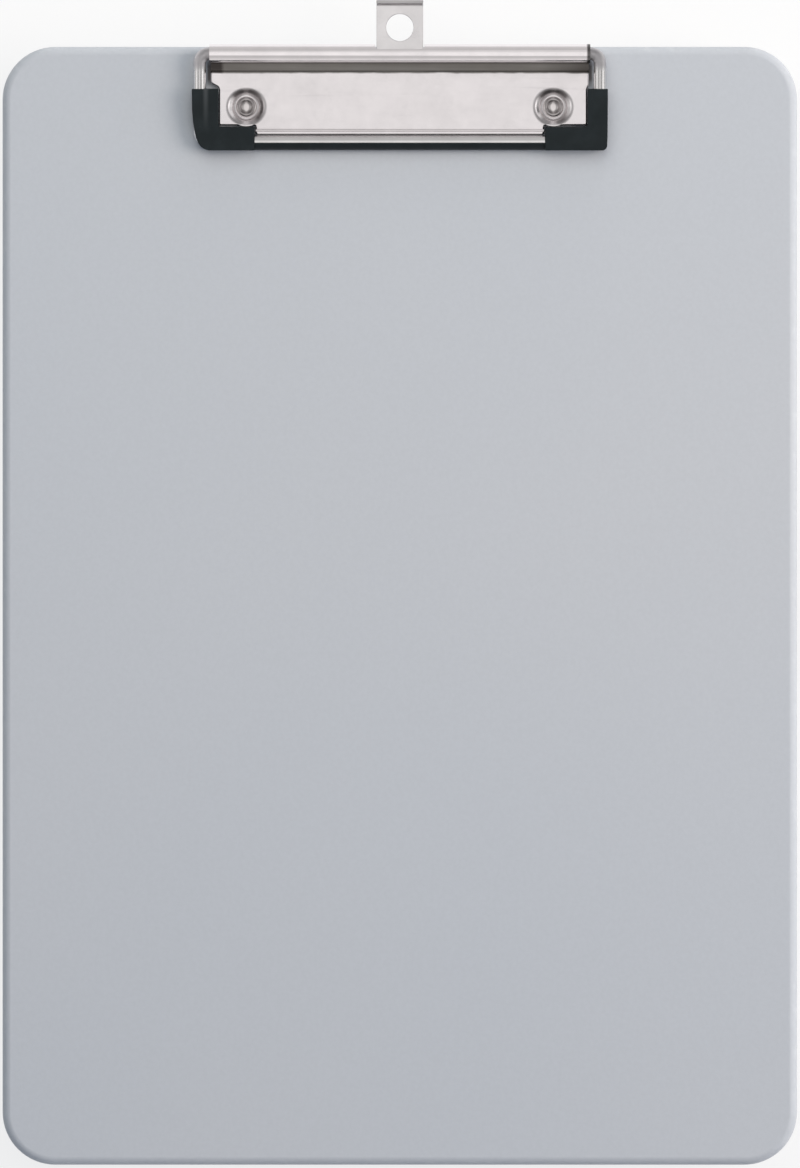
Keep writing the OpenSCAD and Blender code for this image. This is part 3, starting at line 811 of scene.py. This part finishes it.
def make_pins():
    """Hinge and latch pins with chamfered ends."""
    for name, x, y, length in (("hinge_pin_upper", -HINGE_X, HINGE_Y, HINGE_PIN_L),
                               ("hinge_pin_lower", -HINGE_X, -HINGE_Y, HINGE_PIN_L),
                               ("latch_pin", HINGE_X, 0, LATCH_PIN_L)):
        half = length / 2
        rings = [(0.7, -half), (0.88, 0.06 - half), (PIN_R, 0.25 - half), (PIN_R, half - 0.25),
                 (0.88, half - 0.06), (0.7, half)]
        pin = turned(f"{name}_steel", rings, (x, y, HINGE_Z), "Y", 32)
        finish(pin, frame["nodes"][name]["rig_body"], PIN_FINISH, name)


def make_clasp():
    """The swinging latch: barrel, blade with finger ribs, and the hook that meets the catch."""
    half = CLASP_L / 2
    blade = block("latch_clasp_moulded", (CLASP_X - CLASP_T, 0.1 - half, CLASP_LOW),
                  (CLASP_X, half - 0.1, HINGE_Z))
    round_off(blade, lambda a, b: near(a.y, b.y) and level(CLASP_LOW)(a, b), 2.4, 6)
    hook_in, hook_top = CLASP_X - 0.6, HOOK_Z + 1.8
    hook = [(HOOK_X, HOOK_Z + 0.7), (HOOK_X, hook_top - 0.2), (HOOK_X + 0.2, hook_top),
            (hook_in, hook_top), (hook_in, HOOK_Z), (HOOK_X + 0.9, HOOK_Z)]
    join(blade, outline("hook", hook, "Y", 0.3 - half, half - 0.3))
    for z in (5.6, 6.8, 8.0):
        rib = [(0.38, 3 - half), (0.38, half - 3)]
        cut(blade, turned("rib", rib, (CLASP_X + 0.12, 0, z), "Y", 20))
    join(blade, barrel("barrel", HINGE_X, 0, CLASP_L))
    bore(blade, HINGE_X, 0, CLASP_L)
    ease(blade, 0.2)
    finish(blade, "latch", LATCH_FINISH, "latch_clasp")


# ---------------------------------------------------------------- camera, floor and light


def make_camera():
    """Straight above the writing face, as in the photograph."""
    data = bpy.data.cameras.new("camera")
    data.sensor_fit, data.sensor_height, data.lens = "VERTICAL", SENSOR, LENS
    data.clip_start, data.clip_end = 10 * MM, 50000 * MM
    camera = bpy.data.objects.new("camera", data)
    camera.location = Vector((CAMERA_X, CAMERA_Y, FACE_Z + CAMERA_OVER_FACE)) * MM
    bpy.context.scene.collection.objects.link(camera)
    bpy.context.scene.camera = camera


def make_floor():
    """A plain pale floor. For the camera and in reflections it is lifted towards white, and it
    keeps the shadow."""
    leave_edit()
    bpy.ops.mesh.primitive_plane_add(size=FLOOR_SIZE * MM, location=(0, 0, 0))
    floor = bpy.context.object
    floor.name = "floor"
    n = Nodes(bpy.data.materials.new("pale_floor"))
    pale = n.mix(n.noise(3, 2), rgb(0.84, 0.84, 0.84), rgb(0.86, 0.86, 0.86))
    floor.data.materials.append(n.use(colour=pale, roughness=0.9, specular=0.1))
    glow = n.add("ShaderNodeEmission", {"Color": rgb(1, 1, 1), "Strength": 1.0})
    rays = n.add("ShaderNodeLightPath").outputs
    lifted = n.times(n.maths("MAXIMUM", rays["Is Camera Ray"], rays["Is Glossy Ray"]), FLOOR_LIFT)
    plain = n.tree.nodes["Principled BSDF"]
    both = n.add("ShaderNodeMixShader", {0: lifted, 1: plain.outputs[0], 2: glow.outputs[0]})
    n.put(both.outputs[0], n.tree.nodes["Material Output"].inputs["Surface"])


def make_lamps():
    """A soft key from the right, a fill from the back and two low rims."""
    for name, place, aim, size, watts, colour in (
            ("key", (950, 150, 850), (0, 0, 0), 800, 8.9, (1.0, 0.88, 0.77)),
            ("fill", (-150, 500, 750), (0, 50, 0), 900, 3.05, (1.0, 0.955, 0.84)),
            ("rim_right", (1100, 100, 130), (0, 0, 0), 500, 2.4, (1.0, 0.97, 0.93)),
            ("rim_back", (200, 1100, 130), (0, 0, 0), 500, 2.0, (1.0, 0.96, 0.9))):
        data = bpy.data.lights.new(name, "AREA")
        data.shape, data.size, data.energy, data.color = "DISK", size * MM, watts, colour
        lamp = bpy.data.objects.new(name, data)
        lamp.location = Vector(place) * MM
        lamp.rotation_euler = (Vector(place) - Vector(aim)).to_track_quat("Z", "Y").to_euler()
        lamp.visible_camera = False
        lamp.visible_glossy = False
        bpy.context.scene.collection.objects.link(lamp)


def make_studio():
    """A studio that is darker at the left. The chrome mirrors its bright panels and the darker
    gaps between them, by the tilt towards them and from left to right."""
    world = bpy.data.worlds.new("studio")
    bpy.context.scene.world = world
    n = Nodes(world)
    way = n.coordinates["Generated"]
    lean = n.spread(n.vectors("DOT_PRODUCT", way, (0.75, 0.25, 0.61)), -1, 1)
    soft = n.ramp(lean, [(0.0, (0.06, 0.07, 0.085)), (0.4, (0.13, 0.15, 0.185)),
                         (0.65, (0.25, 0.295, 0.365)), (0.8, (0.38, 0.445, 0.54)),
                         (1.0, (0.57, 0.65, 0.75))])
    x, y, z = n.parts(way)
    tilt = n.spread(n.maths("ARCTAN2", y, z), -math.pi, math.pi)
    by_tilt = [(-180, 0.12), (-125, 0.16), (-98, 0.85), (-85, 0.82), (-60, 0.62), (-44, 0.54),
               (-34, 0.54), (-18, 0.9), (-11, 1.0), (6, 0.95), (15, 0.8), (38, 0.56), (74, 0.63),
               (107, 0.64), (180, 0.4)]
    mirror = n.ramp(tilt, [((a + 180) / 360, (v, v * 0.985, v * 0.975)) for a, v in by_tilt])
    by_side = [(-1, 0.5), (-0.94, 0.8), (-0.88, 1.2), (-0.8, 1.2), (-0.7, 0.8), (-0.58, 0.5),
               (-0.19, 0.45), (-0.12, 1), (0.12, 1), (0.19, 0.4), (0.58, 0.45), (0.7, 0.8),
               (0.78, 1.4), (0.92, 1.4), (0.96, 0.8), (1, 0.5)]
    panels = n.ramp(n.spread(x, -1, 1), [((a + 1) / 2, (v, v, v)) for a, v in by_side])
    rays = n.add("ShaderNodeLightPath").outputs
    shiny = n.mix(rays["Is Glossy Ray"], soft, n.vectors("MULTIPLY", mirror, panels))
    seen = n.mix(rays["Is Camera Ray"], shiny, rgb(1, 1, 1))
    n.put(seen, n.tree.nodes["Background"].inputs["Color"])
    bpy.context.scene.view_settings.view_transform = "Standard"


make_camera()
make_floor()
make_lamps()
make_studio()
make_lid()
make_clip_plate()
make_rivets()
make_bail()
make_grip("left", 7.5, [(0.1, 11.4), (0.35, 8), (0.75, 5.7), (1.2, 3.6), (1.75, 2.2), (2.5, 1.1),
                        (3.5, 0.4), (4.8, 0)], lip=1.5)
make_grip("right", 5.75, [(0.05, 4), (0.2, 1.1), (0.5, 0.45), (1.1, 0.05), (1.6, 0)])
make_sleeve()
make_hanger_tab()
make_tray()
make_feet()
make_pins()
make_clasp()
